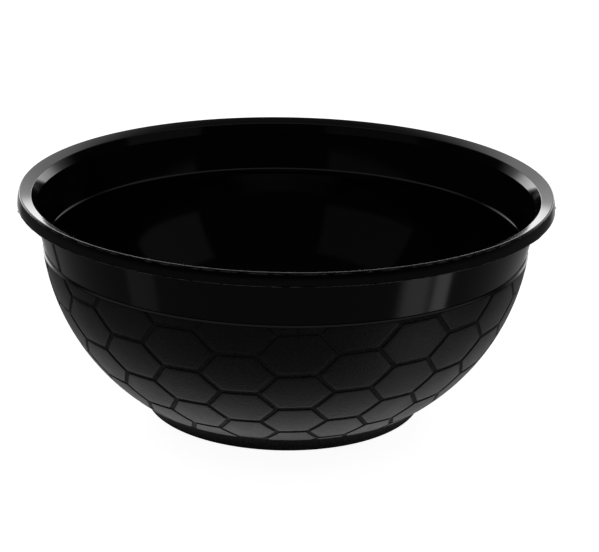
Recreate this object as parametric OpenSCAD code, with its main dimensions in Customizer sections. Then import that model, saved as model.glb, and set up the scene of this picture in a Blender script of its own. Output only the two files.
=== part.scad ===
// Hair color bowl: a flared lip, a plain band, a honeycomb wall, a flat floor and a standing ring.
// The bowl stands on z = 0 and its axis is +Z. Millimetres.

/* [Rim] */
// Diameter over the lip
rim_d = 140; // [139:1:150]
// Width of the lip, from its outer face to its inner edge
lip_w = 3.7; // [3:0.1:4.5]
// Height of the lip from its sharp lower edge to its top
lip_h = 3.4; // [3:0.1:5]
// How far the lip's outer face leans inwards from its lower edge to its top corner
lip_lean = 0.4; // [0:0.05:1]
// Radius of the lip's outer top corner
lip_round_r = 0.35; // [0.2:0.05:1]
// How far the lip's inner edge lies below its top
lip_slope_drop = 1; // [0.6:0.1:1.5]

/* [Body] */
// Overall height
bowl_h = 59.5; // [58:0.1:66]
// Height of the step where the honeycomb ends and the plain band starts
step_z = 44.2; // [42:0.1:46]
// Height of the thin ring that ends the honeycomb at the step
step_ring_h = 0.45; // [0.3:0.05:0.8]
// Outer diameter of the honeycomb at the step
wall_top_d = 127.6; // [124:0.1:129]
// Outer diameter of the honeycomb where it meets the foot
wall_foot_d = 80.7; // [79:0.1:84]
// Radius of the arc that the wall follows from foot to step
wall_arc_r = 57; // [50:1:62]
// Wall thickness at a honeycomb pad
wall_t = 1.4; // [1.2:0.1:2.4]
// Wall thickness of the plain band
band_t = 0.9; // [0.8:0.05:1.3]
// How much wider the plain band gets from the step up to the lip, on the radius
band_flare = 2.8; // [1:0.1:3]

/* [Honeycomb] */
// Number of columns of pads around the bowl, an even number
columns = 26; // [20:2:32]
// Height of one pad and its groove, along the wall
row_pitch = 12.5; // [11.5:0.1:13.5]
// Share of a column's width that is the flat top edge of a cell
flat_share = 0.66; // [0.5:0.01:0.8]
// Width of the grooves
groove_w = 1.2; // [0.8:0.1:2]
// Depth of the grooves
groove_depth = 0.2; // [0.2:0.1:0.6]
// Direction of the first column, turned from the front towards the right, in degrees
first_column = 3.1; // [0:0.1:13]
// How far the centre of the first column's upper pad lies below the step, along the wall
first_pad_drop = 8.3; // [6:0.1:10]

/* [Foot] */
// Height of the standing ring
foot_h = 4.6; // [4:0.1:6]
// Outer diameter of the standing ring just under the wall
foot_top_d = 76.4; // [76:0.1:78]
// Outer diameter of the face that the bowl stands on
foot_rest_d = 72.6; // [72:0.1:74]
// Width of the face that the bowl stands on
foot_rest_w = 2.4; // [1.5:0.1:4]
// Thickness of the floor
floor_t = 2; // [1.5:0.1:2.5]

/* [Hidden] */

$fn = 96;
black = [0.10, 0.10, 0.11];
charcoal = [0.17, 0.17, 0.18];
far = 200;  // longer than anything on the bowl
arc_steps = 8;
arc_facets = 360;
rim_r = rim_d / 2;

// The wall's arc passes through the step's edge and the foot's edge.
step_edge = [wall_top_d / 2, step_z];
foot_edge = [wall_foot_d / 2, foot_h];
wall_chord = norm(step_edge - foot_edge);
chord_dir = (step_edge - foot_edge) / wall_chord;
centre_back = sqrt(pow(wall_arc_r, 2) - pow(wall_chord / 2, 2));
arc_centre = (step_edge + foot_edge) / 2 + centre_back * [-chord_dir[1], chord_dir[0]];
inner_arc_r = wall_arc_r - wall_t;
groove_arc_r = wall_arc_r - groove_depth;

// Radius of the bowl at height z on an arc of radius r about the wall's centre
function arc_x(r, z) = arc_centre[0] + sqrt(pow(r, 2) - pow(arc_centre[1] - z, 2));

// Rim: the lip's section is two rounds joined by a sloping top, over a leaning outer face and a flare.
lip_base_z = bowl_h - lip_h;
lip_edge_r = 0.4;  // round on the lip's inner edge
outer_round = [rim_r - lip_lean - lip_round_r, bowl_h - lip_round_r];
inner_round = [rim_r - lip_w + lip_edge_r, bowl_h - lip_slope_drop - lip_edge_r];

// Plain band: it leans outwards from the step to the lip.
band_set_in = 0.3;  // how far the band's foot lies inside the bottom of the grooves
band_foot_x = arc_x(groove_arc_r, step_z) - band_set_in;
band_top_x = band_foot_x + band_flare;
band_inner_x = band_top_x - band_t;
ledge_rise = 1.8;  // small ledge on the inside, just above the step
ledge_z = step_z + ledge_rise;
ledge_share = (ledge_z - step_z) / (lip_base_z - step_z);
ledge_x = band_foot_x + band_flare * ledge_share - band_t;
ledge_h = 0.4;

// Honeycomb: cells on a lattice of columns and rows that climbs one row in one turn.
column_angle = 360 / columns;
flat_angle = column_angle * flat_share / 2;
row_angle = row_pitch / wall_arc_r * 180 / PI;
climb_angle = row_angle / columns;
step_angle = asin((arc_centre[1] - step_z) / wall_arc_r);
foot_angle = asin((arc_centre[1] - foot_h) / wall_arc_r);
first_pad_angle = step_angle + first_pad_drop / wall_arc_r * 180 / PI;
least_pad = 1.6 / wall_arc_r * 180 / PI;  // a cell with less showing than this has no pad

// Floor and foot
foot_side_t = 1.2;  // thickness of the standing ring beside the floor
floor_x = foot_top_d / 2 - foot_side_t;
foot_rest_x = foot_rest_d / 2;
foot_round_r = 0.6;
neck_h = 0.8;  // the standing ring widens under the wall over this height
neck_in = 0.6;  // and stays this far inside the bottom of the grooves
neck_x = arc_x(groove_arc_r, foot_h) - neck_in;
foot_inner_x = foot_rest_x - foot_rest_w;

// Points along an arc of radius r about centre, from one turn to another
function arc(centre, r, from, to) =
    [for (i = [0:arc_steps]) let (turn = from + (to - from) * i / arc_steps)
        centre + r * [cos(turn), sin(turn)]];

// Turn of the face that runs from a point to a round: side is 1 with the face on the round's left
function tangent_turn(point, centre, r, side) =
    let (run = point - centre)
    atan2(run[1], run[0]) + side * acos(r / norm(run));

// The point of the wall that is turned by az around the axis and by down along the arc
function wall_point(az, down) =
    let (x = arc_centre[0] + wall_arc_r * cos(down), z = arc_centre[1] - wall_arc_r * sin(down))
    [x * sin(az), -x * cos(az), z];

// How far down the arc the centre of a cell lies
function pad_down(column, row) =
    first_pad_angle + (row + (column % 2 == 0 ? 0 : 0.5)) * row_angle - column * climb_angle;

// A cell's six corners, as turns around the axis and down the arc from its centre
function cell_corners() =
    let (side = column_angle - flat_angle, tall = row_angle / 2)
    [for (c = [[-flat_angle, -tall], [flat_angle, -tall], [side, 0],
               [flat_angle, tall], [-flat_angle, tall], [-side, 0]])
        [c[0], c[1] - c[0] / column_angle * climb_angle]];

// Where the line through a and b crosses the line through c and d
function crossing(a, b, c, d) =
    let (u = b - a, v = d - c, w = c - a)
    a + u * (w[0] * v[1] - w[1] * v[0]) / (u[0] * v[1] - u[1] * v[0]);

// The outline moved inwards by gap on every side; the corners run clockwise
function inset(points, gap) =
    let (n = len(points),
         edges = [for (i = [0:n - 1])
             let (a = points[i], b = points[(i + 1) % n], u = (b - a) / norm(b - a))
             [a + gap * [u[1], -u[0]], b + gap * [u[1], -u[0]]]])
    [for (i = [0:n - 1]) crossing(edges[(i + n - 1) % n][0], edges[(i + n - 1) % n][1],
                                  edges[i][0], edges[i][1])];

// Section between two arcs about the wall's centre, from one height up to another
module arc_section(inner, outer, low, high) {
    intersection() {
        difference() {
            translate(arc_centre) circle(r = outer, $fn = arc_facets);
            translate(arc_centre) circle(r = inner, $fn = arc_facets);
        }
        translate([arc_centre[0], low]) square([far, high - low]);
    }
}

// A prism over one cell, square to the wall at the cell's centre
module cell_prism(column, row) {
    az = first_column + column * column_angle;
    down = pad_down(column, row);
    centre = wall_point(az, down);
    across = [cos(az), sin(az), 0];
    along = [-sin(down) * sin(az), sin(down) * cos(az), -cos(down)];
    corners = [for (c = cell_corners())
        let (p = wall_point(az + c[0], down + c[1]) - centre) [p * across, -(p * along)]];
    depth = 6;
    translate(centre) rotate([0, 0, az]) rotate([90 + down, 0, 0])
        translate([0, 0, -depth / 2]) linear_extrude(depth) polygon(inset(corners, groove_w / 2));
}

// One row of raised pads, cut off at the step and at the foot
module honeycomb_row(rows) {
    color(charcoal)
    intersection() {
        rotate_extrude() arc_section(groove_arc_r, wall_arc_r, foot_h, step_z - step_ring_h);
        union()
            for (row = rows, column = [-columns / 2:columns / 2 - 1]) {
                down = pad_down(column, row);
                showing = min(down + row_angle / 2, foot_angle) - max(down - row_angle / 2, step_angle);
                if (showing > least_pad) cell_prism(column, row);
            }
    }
}

module rim_lip() {
    run = outer_round - inner_round;
    top_turn = atan2(run[1], run[0]) + acos((lip_edge_r - lip_round_r) / norm(run));
    flare_foot = [band_inner_x, lip_base_z];
    face_foot = [rim_r, lip_base_z];
    flare_turn = tangent_turn(flare_foot, inner_round, lip_edge_r, -1) + 360;
    face_turn = tangent_turn(face_foot, outer_round, lip_round_r, 1);
    color(black)
    rotate_extrude()
        polygon(concat([flare_foot],
            arc(inner_round, lip_edge_r, flare_turn, top_turn),
            arc(outer_round, lip_round_r, top_turn, face_turn),
            [face_foot]));
}

module plain_band() {
    color(black)
    rotate_extrude()
        polygon([[band_foot_x, step_z], [band_top_x, lip_base_z], [band_inner_x, lip_base_z],
            [ledge_x, ledge_z], [arc_x(inner_arc_r, step_z), ledge_z - ledge_h],
            [arc_x(inner_arc_r, step_z), step_z]]);
}

module bowl_wall() {
    color(black)
    rotate_extrude() {
        arc_section(inner_arc_r, groove_arc_r, foot_h, step_z);
        arc_section(inner_arc_r, wall_arc_r, step_z - step_ring_h, step_z);
    }
}

module bowl_floor() {
    color(black) translate([0, 0, foot_h - floor_t]) cylinder(r = floor_x, h = floor_t);
}

module foot_ring() {
    outer_x = foot_rest_x + foot_round_r;
    color(black)
    rotate_extrude() {
        polygon([[foot_inner_x, 0], [foot_rest_x, 0], [foot_rest_x, foot_round_r], [outer_x, foot_round_r],
            [foot_top_d / 2, foot_h - neck_h], [neck_x, foot_h], [floor_x, foot_h],
            [floor_x, foot_h - floor_t],
            [foot_inner_x, foot_h - floor_t]]);
        translate([foot_rest_x, foot_round_r]) circle(r = foot_round_r);
    }
}

module honeycomb_row_1() { honeycomb_row([-2, -1]); }
module honeycomb_row_2() { honeycomb_row([0]); }
module honeycomb_row_3() { honeycomb_row([1]); }
module honeycomb_row_4() { honeycomb_row([2]); }
module honeycomb_row_5() { honeycomb_row([3]); }

rim_lip();
plain_band();
bowl_wall();
bowl_floor();
foot_ring();
honeycomb_row_1();
honeycomb_row_2();
honeycomb_row_3();
honeycomb_row_4();
honeycomb_row_5();
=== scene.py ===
"""Hair color bowl: lip, plain band, honeycomb wall, floor and standing ring, in moulded black plastic."""

import math

import bmesh
import bpy
from mathutils import Matrix, Vector, noise


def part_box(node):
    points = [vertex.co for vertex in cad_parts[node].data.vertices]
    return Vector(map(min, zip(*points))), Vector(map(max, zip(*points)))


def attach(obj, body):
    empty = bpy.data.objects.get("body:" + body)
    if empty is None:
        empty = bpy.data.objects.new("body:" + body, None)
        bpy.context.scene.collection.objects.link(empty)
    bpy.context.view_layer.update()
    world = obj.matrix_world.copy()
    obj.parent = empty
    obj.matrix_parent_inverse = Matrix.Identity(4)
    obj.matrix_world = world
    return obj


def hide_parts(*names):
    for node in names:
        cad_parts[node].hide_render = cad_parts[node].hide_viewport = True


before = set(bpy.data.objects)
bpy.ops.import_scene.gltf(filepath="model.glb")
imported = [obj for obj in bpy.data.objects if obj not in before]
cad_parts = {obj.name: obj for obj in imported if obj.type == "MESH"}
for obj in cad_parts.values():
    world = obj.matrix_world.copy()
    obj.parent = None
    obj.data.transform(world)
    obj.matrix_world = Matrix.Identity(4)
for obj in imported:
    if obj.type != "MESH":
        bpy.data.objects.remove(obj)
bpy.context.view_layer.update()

MM = 0.001

# Sizes taken from the frame
RIM_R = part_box("rim_lip")[1][0]
BOWL_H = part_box("rim_lip")[1][2]
LIP_BASE_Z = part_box("rim_lip")[0][2]
STEP_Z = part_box("plain_band")[0][2]
BAND_TOP_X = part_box("plain_band")[1][0]
FOOT_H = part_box("foot_ring")[1][2]
NECK_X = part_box("foot_ring")[1][0]
FLOOR_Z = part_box("bowl_floor")[1][2]
FLOOR_UNDER_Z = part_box("bowl_floor")[0][2]
FLOOR_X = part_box("bowl_floor")[1][0]

# Wall: one arc from foot to step
WALL_ARC_R = 57 * MM
WALL_TOP_X = 63.8 * MM
WALL_FOOT_X = 40.35 * MM
WALL_T = 1.4 * MM
BAND_T = 0.9 * MM
STEP_RING_H = 0.45 * MM
RING_BEVEL_W = 0.32 * MM
RING_BEVEL_H = 0.39 * MM
BAND_SET_IN = 0.3 * MM
LEDGE_RISE = 1.8 * MM
LEDGE_H = 0.4 * MM
GROOVE_DEPTH = 0.2 * MM
GROOVE_W = 1.2 * MM
FLOOR_FILLET_R = 5 * MM

# Lip
LIP_W = 3.7 * MM
LIP_LEAN = 0.4 * MM
LIP_ROUND_R = 0.35 * MM
LIP_EDGE_R = 0.4 * MM
LIP_SLOPE_DROP = 1 * MM
LIP_BULGE = 0.12 * MM
FLASH_H = 0.16 * MM
FLASH_OUT = 0.05 * MM
FLASH_RAGGED = 0.12 * MM
FLASH_FINE = 400
FLASH_BROAD = 90
# Nibs on the lower edge: degrees round from the front, and height
NIBS = {86: 0.4 * MM, -77: 0.3 * MM, 14: 0.2 * MM, -6: 0.18 * MM}
NIB_WIDTH = 0.9

# Honeycomb: the lattice climbs one row in one turn
COLUMNS = 26
ROW_PITCH = 12.5 * MM
FLAT_SHARE = 0.66
FIRST_COLUMN = math.radians(3.1)
FIRST_PAD_DROP = 8.3 * MM
PAD_ROUND_R = 0.08 * MM
PAD_DRAFT = 0.05 * MM
PAD_SUNK = 0.2 * MM
PAD_ROUND_STEPS = 4
PAD_SPACING = 30 * MM
PAD_CUTS = 6
LEAST_PAD = 1.4 * MM
LEAST_SIDE = 0.5 * MM
LONG_EDGE = 0.8 * MM

# Foot
FOOT_TOP_X = 38.2 * MM
NECK_H = 0.8 * MM
FOOT_REST_X = 36.3 * MM
FOOT_REST_W = 2.4 * MM
FOOT_ROUND_R = 0.6 * MM

# Light
TABLE_GLOW = 0.075
ROOM_GLOW = 0.01
CEILING_GLOW = 0.3
BEHIND_GLOW = 0.5
UNDER_SHARE = 1.47

# Camera
CAMERA_ELEVATION = math.radians(19.74)
CAMERA_ROLL = math.radians(0.92)
CAMERA_DISTANCE = 0.55
AIM_Z = 30 * MM
LENS = 124
SENSOR_W = 36
SHIFT_X, SHIFT_Y = 0.0245, 0.0259

# Colours
BLACK = (0.006, 0.006, 0.0063)
GROOVE_GREY = (0.058, 0.058, 0.06)
FOOT_GREY = (0.04, 0.04, 0.042)
CHARCOAL = (0.02, 0.02, 0.021)

TURN_STEPS = 288
NEAR = 1e-6
ON_CORNER = 20 * NEAR


def arc_centre():
    """Centre, in x and z, of the arc through the step's edge and the foot's edge of the wall."""
    step = Vector((WALL_TOP_X, STEP_Z))
    foot = Vector((WALL_FOOT_X, FOOT_H))
    chord = step - foot
    back = math.sqrt(WALL_ARC_R ** 2 - (chord.length / 2) ** 2)
    return (step + foot) / 2 + back * Vector((-chord.y, chord.x)).normalized()


ARC = arc_centre()
STEP_ANGLE = math.asin((ARC.y - STEP_Z) / WALL_ARC_R)
FOOT_ANGLE = math.asin((ARC.y - FOOT_H) / WALL_ARC_R)
COLUMN_ANGLE = 2 * math.pi / COLUMNS
CLIMB = ROW_PITCH / COLUMNS
WALL_LENGTH = (FOOT_ANGLE - STEP_ANGLE) * WALL_ARC_R


def arc_x(radius, z):
    """Distance from the bowl's axis, at height z, of an arc of this radius about the wall's centre."""
    return ARC.x + math.sqrt(radius ** 2 - (ARC.y - z) ** 2)


def arc_points(centre, radius, start, end, steps):
    """Points in x and z along an arc, from one turn to another in degrees."""
    turns = [math.radians(start + (end - start) * i / steps) for i in range(steps + 1)]
    return [(centre[0] + radius * math.cos(t), centre[1] + radius * math.sin(t)) for t in turns]


# ---------------------------------------------------------------- modelling


def select_none():
    bpy.ops.object.select_all(action="DESELECT")


def turned(name, outline, closed=True, steps=TURN_STEPS):
    """A piece turned on the bowl's axis from an outline in x and z, as on a lathe."""
    select_none()
    bpy.ops.mesh.primitive_plane_add(size=MM)
    piece = bpy.context.object
    piece.name = name
    bpy.ops.object.mode_set(mode="EDIT")
    bpy.ops.mesh.merge(type="CENTER")
    bpy.ops.transform.translate(value=(outline[0][0], 0, outline[0][1]))
    if closed:
        outline = outline + outline[:1]
    for here, there in zip(outline, outline[1:]):
        step = (there[0] - here[0], 0, there[1] - here[1])
        bpy.ops.mesh.extrude_region_move(TRANSFORM_OT_translate={"value": step})
    bpy.ops.mesh.select_all(action="SELECT")
    bpy.ops.mesh.remove_doubles(threshold=NEAR)
    bpy.ops.mesh.spin(steps=steps, angle=2 * math.pi, center=(0, 0, 0), axis=(0, 0, 1))
    bpy.ops.mesh.select_all(action="SELECT")
    bpy.ops.mesh.remove_doubles(threshold=NEAR)
    bpy.ops.mesh.normals_make_consistent(inside=False)
    bpy.ops.object.mode_set(mode="OBJECT")
    return piece


def round_rings(piece, corners, radius, segments=3):
    """Rounds the ring edges that pass through these corners of a turned piece."""
    bpy.context.view_layer.objects.active = piece
    bpy.ops.object.mode_set(mode="EDIT")
    bpy.ops.mesh.select_all(action="DESELECT")
    mesh = bmesh.from_edit_mesh(piece.data)

    def on_corner(vert):
        x, z = math.hypot(vert.co.x, vert.co.y), vert.co.z
        return any(math.hypot(x - cx, z - cz) < ON_CORNER for cx, cz in corners)

    for edge in mesh.edges:
        edge.select_set(all(on_corner(v) for v in edge.verts))
    bmesh.update_edit_mesh(piece.data)
    bpy.ops.mesh.bevel(offset=radius, segments=segments, affect="EDGES", clamp_overlap=True)
    bpy.ops.object.mode_set(mode="OBJECT")


def smooth(piece, angle=35):
    select_none()
    piece.select_set(True)
    bpy.context.view_layer.objects.active = piece
    bpy.ops.object.shade_smooth_by_angle(angle=math.radians(angle))


def tangent_turn(point, centre, radius, side):
    """Turn, in degrees, of the face that runs from a point to a round; side 1 has it on the round's left."""
    run = Vector(point) - Vector(centre)
    return math.degrees(math.atan2(run.y, run.x) + side * math.acos(radius / run.length))


def bulged(start, end, bulge, steps):
    """Points after start, up to end, of a shallow curve that stands out by bulge in its middle."""
    start, end = Vector(start), Vector(end)
    along = end - start
    out = Vector((-along.y, along.x)).normalized() * bulge
    shares = [(i + 1) / steps for i in range(steps)]
    return [tuple(start + along * t + out * 4 * t * (1 - t)) for t in shares]


def rim_lip():
    """The lip, with the thin ragged flash of the mould along its lower edge; the flash and the ring at the
    top of the outer face are marked for a painted highlight.
    """
    flare_foot = (BAND_TOP_X - BAND_T, LIP_BASE_Z)
    outer = (RIM_R - LIP_LEAN - LIP_ROUND_R, BOWL_H - LIP_ROUND_R)
    inner = (RIM_R - LIP_W + LIP_EDGE_R, BOWL_H - LIP_SLOPE_DROP - LIP_EDGE_R)
    run = Vector(outer) - Vector(inner)
    top = math.degrees(math.atan2(run.y, run.x) + math.acos((LIP_EDGE_R - LIP_ROUND_R) / run.length))
    flare = tangent_turn(flare_foot, inner, LIP_EDGE_R, -1) % 360
    face_foot = (RIM_R, LIP_BASE_Z + FLASH_H)
    face = tangent_turn(face_foot, outer, LIP_ROUND_R, 1)
    face_top = arc_points(outer, LIP_ROUND_R, face, face, 1)[0]
    tip = (RIM_R + FLASH_OUT, LIP_BASE_Z + FLASH_H / 2)
    piece = turned("rim_lip", (
        [flare_foot]
        + arc_points(inner, LIP_EDGE_R, flare, top, 8)
        + arc_points(outer, LIP_ROUND_R, top, face, 10)
        + bulged(face_top, face_foot, LIP_BULGE, 10)
        + [tip, (RIM_R - FLASH_OUT, LIP_BASE_Z), (RIM_R - 4 * FLASH_OUT, LIP_BASE_Z)]
    ), steps=2 * TURN_STEPS)
    for vert in piece.data.vertices:
        x, z = math.hypot(vert.co.x, vert.co.y), vert.co.z
        if abs(x - tip[0]) < NEAR and abs(z - tip[1]) < NEAR:
            azimuth = math.degrees(math.atan2(vert.co.x, -vert.co.y))
            ragged = noise.noise(vert.co * FLASH_FINE) + noise.noise(vert.co * FLASH_BROAD)
            out = FLASH_RAGGED * max(0, ragged)
            for place, height in NIBS.items():
                out += height * math.exp(-((azimuth - place) / NIB_WIDTH) ** 2)
            vert.co *= Vector((1 + out / x, 1 + out / x, 1))
            vert.co.z -= out / 4
    # Marks the flash and the ring at the top of the outer face, which take a painted highlight from the
    # lip's material
    mark(piece, "edge", lambda x, z: int(x > RIM_R - 2 * FLASH_OUT and z < LIP_BASE_Z + FLASH_H
                                         or math.hypot(x - face_top[0], z - face_top[1]) < NEAR))
    return piece


def mark(piece, name, weight):
    """Stores a number at every vertex: weight of its distance from the axis and its height."""
    layer = piece.data.attributes.new(name, "FLOAT", "POINT")
    for vert, value in zip(piece.data.vertices, layer.data):
        value.value = weight(math.hypot(vert.co.x, vert.co.y), vert.co.z)


def plain_band():
    foot_x = arc_x(WALL_ARC_R - GROOVE_DEPTH, STEP_Z) - BAND_SET_IN
    lean = (BAND_TOP_X - foot_x) / (LIP_BASE_Z - STEP_Z)
    ledge_z = STEP_Z + LEDGE_RISE
    ledge_x = foot_x + lean * LEDGE_RISE - BAND_T
    inner_foot_x = arc_x(WALL_ARC_R - WALL_T, STEP_Z)
    low_ledge_z = ledge_z - LEDGE_H
    piece = turned("plain_band", [
        (foot_x, STEP_Z), (BAND_TOP_X, LIP_BASE_Z), (BAND_TOP_X - BAND_T, LIP_BASE_Z),
        (ledge_x, ledge_z), (inner_foot_x, low_ledge_z), (inner_foot_x, STEP_Z)])
    round_rings(piece, [(ledge_x, ledge_z), (inner_foot_x, low_ledge_z)], LEDGE_H / 2)
    return piece


def bowl_wall():
    """The wall under the pads; its outside, the bottom of the grooves, takes the second material."""
    steps = 36
    groove_r, inner_r = WALL_ARC_R - GROOVE_DEPTH, WALL_ARC_R - WALL_T

    def level(radius, z):
        return -math.degrees(math.asin((ARC.y - z) / radius))

    ring_z = STEP_Z - STEP_RING_H
    outline = [(WALL_TOP_X - RING_BEVEL_W, STEP_Z), (WALL_TOP_X, STEP_Z - RING_BEVEL_H),
               (arc_x(WALL_ARC_R, ring_z), ring_z)]
    outline += arc_points(ARC, groove_r, level(groove_r, ring_z), level(groove_r, FOOT_H), steps)
    outline += arc_points(ARC, inner_r, level(inner_r, FOOT_H), level(inner_r, STEP_Z), steps)
    piece = turned("bowl_wall", outline)
    for face in piece.data.polygons:
        x, z = math.hypot(face.center.x, face.center.y), face.center.z
        face.material_index = int(math.hypot(x - ARC.x, z - ARC.y) > (groove_r + inner_r) / 2 and z < ring_z)
    return piece


def bowl_floor():
    """The floor with the fillet that carries it into the wall."""
    inner_r = WALL_ARC_R - WALL_T
    centre_z = FLOOR_Z + FLOOR_FILLET_R
    centre = Vector((ARC.x + math.sqrt((inner_r - FLOOR_FILLET_R) ** 2 - (ARC.y - centre_z) ** 2), centre_z))
    touch = (centre - ARC).normalized()
    end = math.degrees(math.atan2(touch.y, touch.x))
    behind = ARC + touch * (inner_r + WALL_T / 4)
    outline = (
        [(0, FLOOR_UNDER_Z), (FLOOR_X, FLOOR_UNDER_Z), (FLOOR_X, FLOOR_Z), tuple(behind)]
        + arc_points(centre, FLOOR_FILLET_R, end, -90, 8)
        + [(0, FLOOR_Z)]
    )
    return turned("bowl_floor", outline, closed=False)


def foot_ring():
    inner_x = FOOT_REST_X - FOOT_REST_W
    outer_x = FOOT_REST_X + FOOT_ROUND_R
    outline = (
        [(inner_x, 0)]
        + arc_points((FOOT_REST_X, FOOT_ROUND_R), FOOT_ROUND_R, -90, 0, 6)
        + [(FOOT_TOP_X, FOOT_H - NECK_H), (NECK_X, FOOT_H), (FLOOR_X, FOOT_H), (FLOOR_X, FLOOR_UNDER_Z),
           (inner_x, FLOOR_UNDER_Z)]
    )
    piece = turned("foot_ring", outline)
    round_rings(piece, [(inner_x, 0)], FOOT_ROUND_R / 2)
    return piece


def pad_drop(column, row):
    """How far below the step, along the wall, the centre of a cell lies."""
    return FIRST_PAD_DROP + (row + (column % 2) / 2) * ROW_PITCH - column * CLIMB


def wall_x(drop):
    return ARC.x + WALL_ARC_R * math.cos(STEP_ANGLE + drop / WALL_ARC_R)


def pad_outline(column, row):
    """A pad's corners laid flat: x along the bowl's girth from its column, y up the wall from the step."""
    flat, side = COLUMN_ANGLE * FLAT_SHARE / 2, COLUMN_ANGLE * (1 - FLAT_SHARE / 2)
    tall = ROW_PITCH / 2
    centre = pad_drop(column, row)
    corners = []
    for turn, drop in ((-flat, tall), (flat, tall), (side, 0), (flat, -tall), (-flat, -tall), (-side, 0)):
        here = centre + drop - turn / COLUMN_ANGLE * CLIMB
        corners.append(Vector((turn * wall_x(here), -here)))
    corners = drawn_in(corners, GROOVE_W / 2 - PAD_DRAFT)
    ring_drop = (math.asin((ARC.y - STEP_Z + STEP_RING_H) / WALL_ARC_R) - STEP_ANGLE) * WALL_ARC_R
    corners = cut_off(corners, lambda p: -p.y - ring_drop)
    corners = cut_off(corners, lambda p: p.y + WALL_LENGTH)
    heights = [p.y for p in corners] or [0]
    if max(heights) - min(heights) < LEAST_PAD:
        return []
    return without_short_sides(corners)


def drawn_in(corners, gap):
    """The outline with each side moved inwards by gap; corners run anticlockwise."""
    lines = []
    for a, b in zip(corners, corners[1:] + corners[:1]):
        along = (b - a).normalized()
        inwards = Vector((-along.y, along.x))
        lines.append((a + inwards * gap, along))
    moved = []
    for (a, u), (b, v) in zip(lines[-1:] + lines[:-1], lines):
        t = ((b - a).x * v.y - (b - a).y * v.x) / (u.x * v.y - u.y * v.x)
        moved.append(a + u * t)
    return moved


def cut_off(corners, inside):
    """The part of the outline where inside(corner) is not negative."""
    kept = []
    for a, b in zip(corners, corners[1:] + corners[:1]):
        da, db = inside(a), inside(b)
        if da >= 0:
            kept.append(a)
        if (da > 0 > db) or (da < 0 < db):
            kept.append(a.lerp(b, da / (da - db)))
    return kept


def without_short_sides(corners):
    """The outline with the two ends of every short side drawn together."""
    kept = []
    for here in corners:
        if kept and (here - kept[-1]).length < LEAST_SIDE:
            kept[-1] = (kept[-1] + here) / 2
        else:
            kept.append(here)
    if (kept[0] - kept[-1]).length < LEAST_SIDE:
        kept[0] = (kept[0] + kept.pop()) / 2
    return kept


def lay_pads(name, rows):
    """The pads of some rows as flat outlines, every column at its own place along x; stays in edit mode."""
    select_none()
    piece = None
    for column in range(-COLUMNS // 2, COLUMNS // 2):
        for row in rows:
            corners = pad_outline(column, row)
            if not corners:
                continue
            centre = sum(corners, Vector((0, 0))) / len(corners)
            place = (column * PAD_SPACING + centre.x, centre.y, 0)
            bpy.ops.mesh.primitive_circle_add(vertices=len(corners), radius=MM, fill_type="TRIFAN",
                                              location=place)
            if piece is None:
                piece = bpy.context.object
                piece.name = name
                piece.data.transform(piece.matrix_world)
                piece.matrix_world = Matrix()
                bpy.ops.object.mode_set(mode="EDIT")
            mesh = bmesh.from_edit_mesh(piece.data)
            rim = [v for v in mesh.verts if v.select and (v.co - Vector(place)).length > MM / 2]
            rim.sort(key=lambda v: math.atan2(v.co.y - place[1], v.co.x - place[0]))
            corners.sort(key=lambda p: math.atan2(p.y - centre.y, p.x - centre.x))
            for vert, corner in zip(rim, corners):
                vert.co = (column * PAD_SPACING + corner.x, corner.y, 0)
            bmesh.update_edit_mesh(piece.data)
    return piece


def raise_pads(piece):
    """Raises the flat outlines, rounds their edges and cuts long edges so that they can follow the wall."""
    bpy.ops.mesh.select_all(action="SELECT")
    bpy.ops.mesh.extrude_region_move(TRANSFORM_OT_translate={"value": (0, 0, PAD_SUNK)})
    bpy.ops.mesh.inset(thickness=PAD_DRAFT, depth=GROOVE_DEPTH - PAD_ROUND_R)
    for i in range(PAD_ROUND_STEPS):
        a, b = (math.pi / 2 * k / PAD_ROUND_STEPS for k in (i, i + 1))
        bpy.ops.mesh.inset(thickness=PAD_ROUND_R * (math.cos(a) - math.cos(b)),
                           depth=PAD_ROUND_R * (math.sin(b) - math.sin(a)))
    bpy.ops.mesh.select_mode(type="EDGE")
    bpy.ops.mesh.select_all(action="DESELECT")
    mesh = bmesh.from_edit_mesh(piece.data)
    for edge in mesh.edges:
        edge.select_set(edge.calc_length() > LONG_EDGE)
    bmesh.update_edit_mesh(piece.data)
    bpy.ops.mesh.subdivide(number_cuts=PAD_CUTS)
    bpy.ops.mesh.select_mode(type="VERT")
    bpy.ops.object.mode_set(mode="OBJECT")


def wrap_pads(piece):
    """Wraps the raised pads round the wall, with their tops on its outer arc, and marks their edges."""
    high = GROOVE_DEPTH + PAD_SUNK
    layer = piece.data.attributes.new("edge", "FLOAT", "POINT")
    for vert, value in zip(piece.data.vertices, layer.data):
        value.value = 1 if high - PAD_ROUND_R - NEAR < vert.co.z < high - NEAR else 0
    for vert in piece.data.vertices:
        column = round(vert.co.x / PAD_SPACING)
        drop = -vert.co.y
        turn = FIRST_COLUMN + column * COLUMN_ANGLE + (vert.co.x - column * PAD_SPACING) / wall_x(drop)
        down = STEP_ANGLE + drop / WALL_ARC_R
        radius = WALL_ARC_R - high + vert.co.z
        x, z = ARC.x + radius * math.cos(down), ARC.y - radius * math.sin(down)
        vert.co = (x * math.sin(turn), -x * math.cos(turn), z)


def honeycomb_row(name, rows):
    """One row of raised pads."""
    piece = lay_pads(name, rows)
    raise_pads(piece)
    wrap_pads(piece)
    bpy.ops.object.mode_set(mode="EDIT")
    bpy.ops.mesh.select_all(action="SELECT")
    bpy.ops.mesh.normals_make_consistent(inside=False)
    bpy.ops.object.mode_set(mode="OBJECT")
    return piece


# ---------------------------------------------------------------- materials


def add(tree, kind, inputs=None, **settings):
    """A new node with its inputs set to a number, a vector or a colour, or linked to a socket."""
    node = tree.nodes.new("ShaderNode" + kind)
    for key, value in settings.items():
        setattr(node, key, value)
    for key, value in (inputs or {}).items():
        if isinstance(value, bpy.types.NodeSocket):
            tree.links.new(value, node.inputs[key])
        else:
            node.inputs[key].default_value = value
    return node


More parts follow.
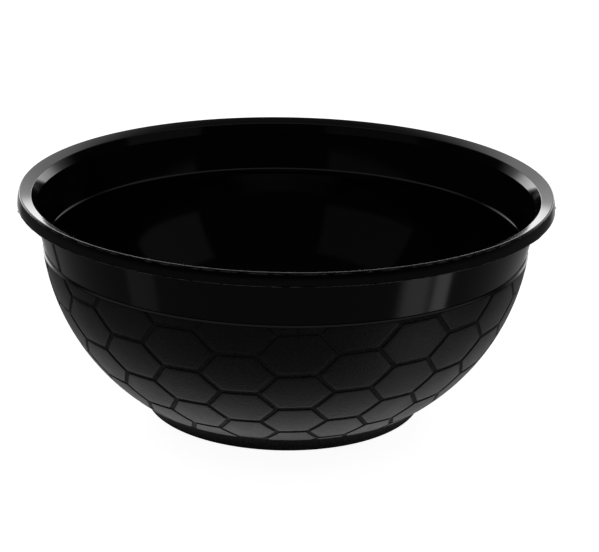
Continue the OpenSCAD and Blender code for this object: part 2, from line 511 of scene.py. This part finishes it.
def new_group(name, inputs, outputs):
    """A node group with float or vector sockets; its input node and a function that links its outputs."""
    group = bpy.data.node_groups.new(name, "ShaderNodeTree")
    for direction, sockets in (("INPUT", inputs), ("OUTPUT", outputs)):
        for label, kind in sockets.items():
            group.interface.new_socket(label, in_out=direction, socket_type="NodeSocket" + kind)
    taken = group.nodes.new("NodeGroupInput").outputs
    given = group.nodes.new("NodeGroupOutput").inputs

    def give(**sockets):
        for label, socket in sockets.items():
            group.links.new(socket, given[label])

    return group, taken, give


def grain_group():
    """Fine spark-eroded grain: a normal and the height it comes from."""
    group, taken, give = new_group(
        "fine_grain", {"Place": "Vector", "Depth": "Float"}, {"Normal": "Vector", "Height": "Float"})
    fine = add(group, "TexNoise", {"Vector": taken["Place"], "Scale": 2400, "Detail": 3, "Roughness": 0.6})
    pits = add(group, "TexVoronoi", {"Vector": taken["Place"], "Scale": 2000})
    height = add(group, "Math", {0: pits.outputs["Distance"], 1: fine.outputs["Fac"]}, operation="ADD")
    bump = add(group, "Bump", {"Strength": taken["Depth"], "Distance": 0.05 * MM,
                               "Height": height.outputs["Value"]})
    give(Normal=bump.outputs["Normal"], Height=fine.outputs["Fac"])
    return group


def gloss_group():
    """Uneven gloss of a moulded skin: broad clouds and finer smears, as a factor around 1."""
    group, taken, give = new_group(
        "uneven_gloss", {"Place": "Vector", "Amount": "Float"}, {"Factor": "Float"})
    clouds = add(group, "TexNoise", {"Vector": taken["Place"], "Scale": 45, "Detail": 2})
    smears = add(group, "TexNoise", {"Vector": taken["Place"], "Scale": 260, "Detail": 4, "Distortion": 0.8})
    both = add(group, "Math", {0: clouds.outputs["Fac"], 1: smears.outputs["Fac"]},
               operation="ADD")
    middle = add(group, "Math", {0: both.outputs["Value"], 1: -1.0}, operation="ADD")
    scaled = add(group, "Math", {0: middle.outputs["Value"], 1: taken["Amount"], 2: 1.0},
                 operation="MULTIPLY_ADD")
    give(Factor=scaled.outputs["Value"])
    return group


def wear_group():
    """Where a marked edge is lighter, as rubbed wear on the pads and as a painted highlight along the lip's
    flash and outer corner: the mark broken up by noise.
    """
    group, taken, give = new_group("edge_wear_and_highlight", {"Place": "Vector", "Edge": "Float"}, {"Mask": "Float"})
    breaks = add(group, "TexNoise", {"Vector": taken["Place"], "Scale": 420, "Detail": 3})
    patchy = add(group, "MapRange", {"Value": breaks.outputs["Fac"], "From Min": 0.42, "From Max": 0.62})
    mask = add(group, "Math", {0: patchy.outputs["Result"], 1: taken["Edge"]}, operation="MULTIPLY")
    give(Mask=mask.outputs["Value"])
    return group


def ripple_group():
    """The slight ripple of a moulded wall, long in height and short around the bowl."""
    group, taken, give = new_group(
        "mould_ripple", {"Place": "Vector", "Depth": "Float", "Normal": "Vector"}, {"Normal": "Vector"})
    stretched = add(group, "Mapping", {"Vector": taken["Place"], "Scale": (1, 1, 0.3)})
    wave = add(group, "TexNoise", {"Vector": stretched.outputs["Vector"], "Scale": 70, "Detail": 1})
    bump = add(group, "Bump", {"Strength": taken["Depth"], "Distance": 0.4 * MM,
                               "Height": wave.outputs["Fac"], "Normal": taken["Normal"]})
    give(Normal=bump.outputs["Normal"])
    return group


def use(tree, group, inputs):
    return add(tree, "Group", inputs, node_tree=group)


def plastic(name, groups, colour, roughness, grain=0.1, ripple=0.1, uneven=0.6, wear_and_highlight_tone=0.06, shine=0.5):
    """Black moulded plastic; marked edges take a lighter tone, rubbed wear on the pads and a painted
    highlight on the lip.
    """
    material = bpy.data.materials.new(name)
    material.use_nodes = True
    tree = material.node_tree
    shader = tree.nodes["Principled BSDF"]
    shader.inputs["IOR"].default_value = 1.49
    shader.inputs["Specular IOR Level"].default_value = shine
    place = add(tree, "TexCoord").outputs["Object"]
    edge = add(tree, "Attribute", attribute_name="edge").outputs["Fac"]
    fine = use(tree, groups["grain"], {"Place": place, "Depth": grain})
    wave = use(tree, groups["ripple"], {"Place": place, "Depth": ripple, "Normal": fine.outputs["Normal"]})
    gloss = use(tree, groups["gloss"], {"Place": place, "Amount": uneven})
    rub_and_highlight = use(tree, groups["rub_and_highlight"], {"Place": place, "Edge": edge})
    rough = add(tree, "Math", {0: gloss.outputs["Factor"], 1: roughness}, operation="MULTIPLY")
    marked_edge_roughness = add(tree, "Mix", {"Factor": rub_and_highlight.outputs["Mask"], 2: rough.outputs["Value"], 3: 0.6})
    speckle = add(tree, "MapRange", {"Value": fine.outputs["Height"], "From Min": 0.3, "From Max": 0.7,
                                     "To Min": 0.3, "To Max": 1.7})
    tinted = add(tree, "VectorMath", {0: colour, "Scale": speckle.outputs["Result"]}, operation="SCALE")
    # Marked edges take a lighter flat tone: rubbed wear on the pad edges, a painted highlight on the lip's
    # flash and on the ring at the top of its outer face
    paint = add(tree, "Mix", {"Factor": rub_and_highlight.outputs["Mask"], 6: tinted.outputs["Vector"],
                              7: (wear_and_highlight_tone, wear_and_highlight_tone, wear_and_highlight_tone, 1)}, data_type="RGBA")
    tree.links.new(paint.outputs[2], shader.inputs["Base Color"])
    tree.links.new(marked_edge_roughness.outputs[0], shader.inputs["Roughness"])
    tree.links.new(wave.outputs["Normal"], shader.inputs["Normal"])
    return material


# ---------------------------------------------------------------- stage, light and camera


def studio():
    bpy.ops.mesh.primitive_plane_add(size=6)
    floor = bpy.context.object
    floor.name = "studio_floor"
    material = bpy.data.materials.new("studio_floor")
    material.use_nodes = True
    shader = material.node_tree.nodes["Principled BSDF"]
    shader.inputs["Base Color"].default_value = (0.8, 0.8, 0.8, 1)
    shader.inputs["Roughness"].default_value = 0.9
    shader.inputs["Emission Color"].default_value = (1, 1, 1, 1)
    shader.inputs["Emission Strength"].default_value = 0.95
    floor.data.materials.append(material)
    floor.visible_glossy = False
    floor.visible_diffuse = False
    floor.visible_shadow = False


def sky():
    """White to the eye; to the bowl, a dim room with a light table, a bright far wall and soft windows."""
    world = bpy.data.worlds.new("studio")
    bpy.context.scene.world = world
    world.use_nodes = True
    tree = world.node_tree
    tree.nodes.clear()
    toward = add(tree, "TexCoord").outputs["Generated"]
    split = add(tree, "SeparateXYZ", {"Vector": toward})
    x, y, z = (split.outputs[axis] for axis in "XYZ")

    def calc(kind, *values):
        return add(tree, "Math", dict(enumerate(values)), operation=kind).outputs["Value"]

    def ramp(value, low, high, to_low=0.0, to_high=1.0):
        inputs = {"Value": value, "From Min": low, "From Max": high, "To Min": to_low, "To Max": to_high}
        return add(tree, "MapRange", inputs, interpolation_type="SMOOTHSTEP").outputs["Result"]

    turn = calc("MULTIPLY", calc("ARCTAN2", x, calc("MULTIPLY", y, -1.0)), math.degrees(1))
    rise = calc("MULTIPLY", calc("ARCSINE", z), math.degrees(1))

    def window(azimuth, half_width, elevation, half_height, strength, soft=1):
        """A soft-edged patch of light, or of shade; its place, its sizes and its softness in degrees."""
        across = calc("ABSOLUTE", calc("SUBTRACT", turn, float(azimuth)))
        along = calc("ABSOLUTE", calc("SUBTRACT", rise, float(elevation)))
        mask = calc("MULTIPLY", ramp(across, half_width + soft, half_width - soft),
                    ramp(along, half_height + soft, half_height - soft))
        return calc("MULTIPLY", mask, strength)

    # The table grows lighter under the bowl and behind it
    under = calc("MULTIPLY", calc("MAXIMUM", calc("MULTIPLY", z, -1.0), 0.0), UNDER_SHARE)
    ground = calc("ADD", y, under)
    table = calc("MULTIPLY", calc("POWER", ramp(ground, 0.8, 2.0), 2.0),
                 ramp(calc("ABSOLUTE", x), 0.3, 0.8, 0.85, 0.64))
    behind = ramp(y, 0.8, 0.94, 0.0, BEHIND_GLOW)

    # The far wall is brightest low down and on the left
    wall = calc("MULTIPLY", ramp(z, -0.1, -0.04), ramp(z, 0.5, 0.85, 1.0, 0.0))
    horizon = ramp(z, 0.13, 0.21, 2.5, 1.0)
    sides = ramp(x, -0.35, 0.35, 1.5, 0.95)
    back = calc("MULTIPLY", calc("MULTIPLY", ramp(y, 0.45, 0.85), sides), calc("MULTIPLY", wall, horizon))

    glow = calc("MAXIMUM", calc("MAXIMUM", table, behind), back)
    inside_right = window(azimuth=67, half_width=20, elevation=27, half_height=13, strength=0.09)
    inside_left = window(azimuth=-46, half_width=25, elevation=28, half_height=14, strength=0.055)
    band_soft = window(azimuth=71, half_width=8, elevation=-44, half_height=14, strength=0.5, soft=4)
    band_right = window(azimuth=86, half_width=4.5, elevation=-44, half_height=14, strength=0.72, soft=1.5)
    band_left = window(azimuth=-78, half_width=8, elevation=-44, half_height=14, strength=0.1, soft=1.5)
    band_shade = window(azimuth=-143, half_width=1.5, elevation=-28, half_height=10, strength=-0.3)
    for patch in (inside_right, inside_left, band_soft, band_right, band_left, band_shade):
        glow = calc("ADD", glow, patch)

    # The ceiling over the front lights the chamfer at the step and the lip's edges
    overhead = calc("ADD", z, calc("MULTIPLY", y, 0.5))
    ceiling = calc("MULTIPLY", ramp(overhead, 0.545, 0.565, 0.0, CEILING_GLOW),
                   ramp(y, 0.15, 0.45, 1.0, 0.15))
    room = calc("ADD", ramp(z, -0.15, 0.1, TABLE_GLOW, ROOM_GLOW), ceiling)

    bounce = add(tree, "Background", {"Strength": calc("MAXIMUM", calc("ADD", glow, room), 0.0)})
    backdrop = add(tree, "Background", {"Strength": 1.0, "Color": (1, 1, 1, 1)})
    mix = add(tree, "MixShader", {"Fac": add(tree, "LightPath").outputs["Is Camera Ray"],
                                  1: bounce.outputs["Background"], 2: backdrop.outputs["Background"]})
    add(tree, "OutputWorld", {"Surface": mix.outputs["Shader"]})


def camera():
    look = Vector((0, math.cos(CAMERA_ELEVATION), -math.sin(CAMERA_ELEVATION)))
    level = Vector((1, 0, 0))
    upright = level.cross(look)
    right = level * math.cos(CAMERA_ROLL) + upright * math.sin(CAMERA_ROLL)
    up = upright * math.cos(CAMERA_ROLL) - level * math.sin(CAMERA_ROLL)
    data = bpy.data.cameras.new("camera")
    data.sensor_width = SENSOR_W
    data.lens = LENS
    data.shift_x, data.shift_y = SHIFT_X, SHIFT_Y
    eye = bpy.data.objects.new("camera", data)
    bpy.context.scene.collection.objects.link(eye)
    place = Vector((0, 0, AIM_Z)) - look * CAMERA_DISTANCE
    eye.matrix_world = Matrix.Translation(place) @ Matrix((right, up, -look)).transposed().to_4x4()
    bpy.context.scene.camera = eye


def dress(piece, node, materials):
    for material in materials:
        piece.data.materials.append(material)
    smooth(piece)
    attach(piece, "root")
    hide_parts(node)


def main():
    groups = {"grain": grain_group(), "gloss": gloss_group(), "rub_and_highlight": wear_group(), "ripple": ripple_group()}
    # Its lighter edge tone is a painted highlight along the lip's flash and the ring at the top of the lip's
    # outer face
    black = plastic("smooth_black", groups, BLACK, 0.09, grain=0.02, ripple=0.06, wear_and_highlight_tone=0.25)
    groove = plastic("groove_satin", groups, GROOVE_GREY, 0.65, grain=0.4, ripple=0.03, shine=0.12)
    foot = plastic("foot_black", groups, FOOT_GREY, 0.5, grain=0.1, shine=0.04)
    grained = plastic("grained_charcoal", groups, CHARCOAL, 0.37, grain=0.9, ripple=0.03,
                      uneven=0.4, wear_and_highlight_tone=0.04, shine=0.45)
    for maker in (rim_lip, plain_band, bowl_floor):
        dress(maker(), maker.__name__, [black])
    dress(bowl_wall(), "bowl_wall", [black, groove])
    dress(foot_ring(), "foot_ring", [foot])
    for number, rows in enumerate(([-2, -1], [0], [1], [2], [3]), start=1):
        name = f"honeycomb_row_{number}"
        dress(honeycomb_row(name + ".pads", rows), name, [grained])
    studio()
    sky()
    camera()
    bpy.context.scene.view_settings.view_transform = "Standard"


main()
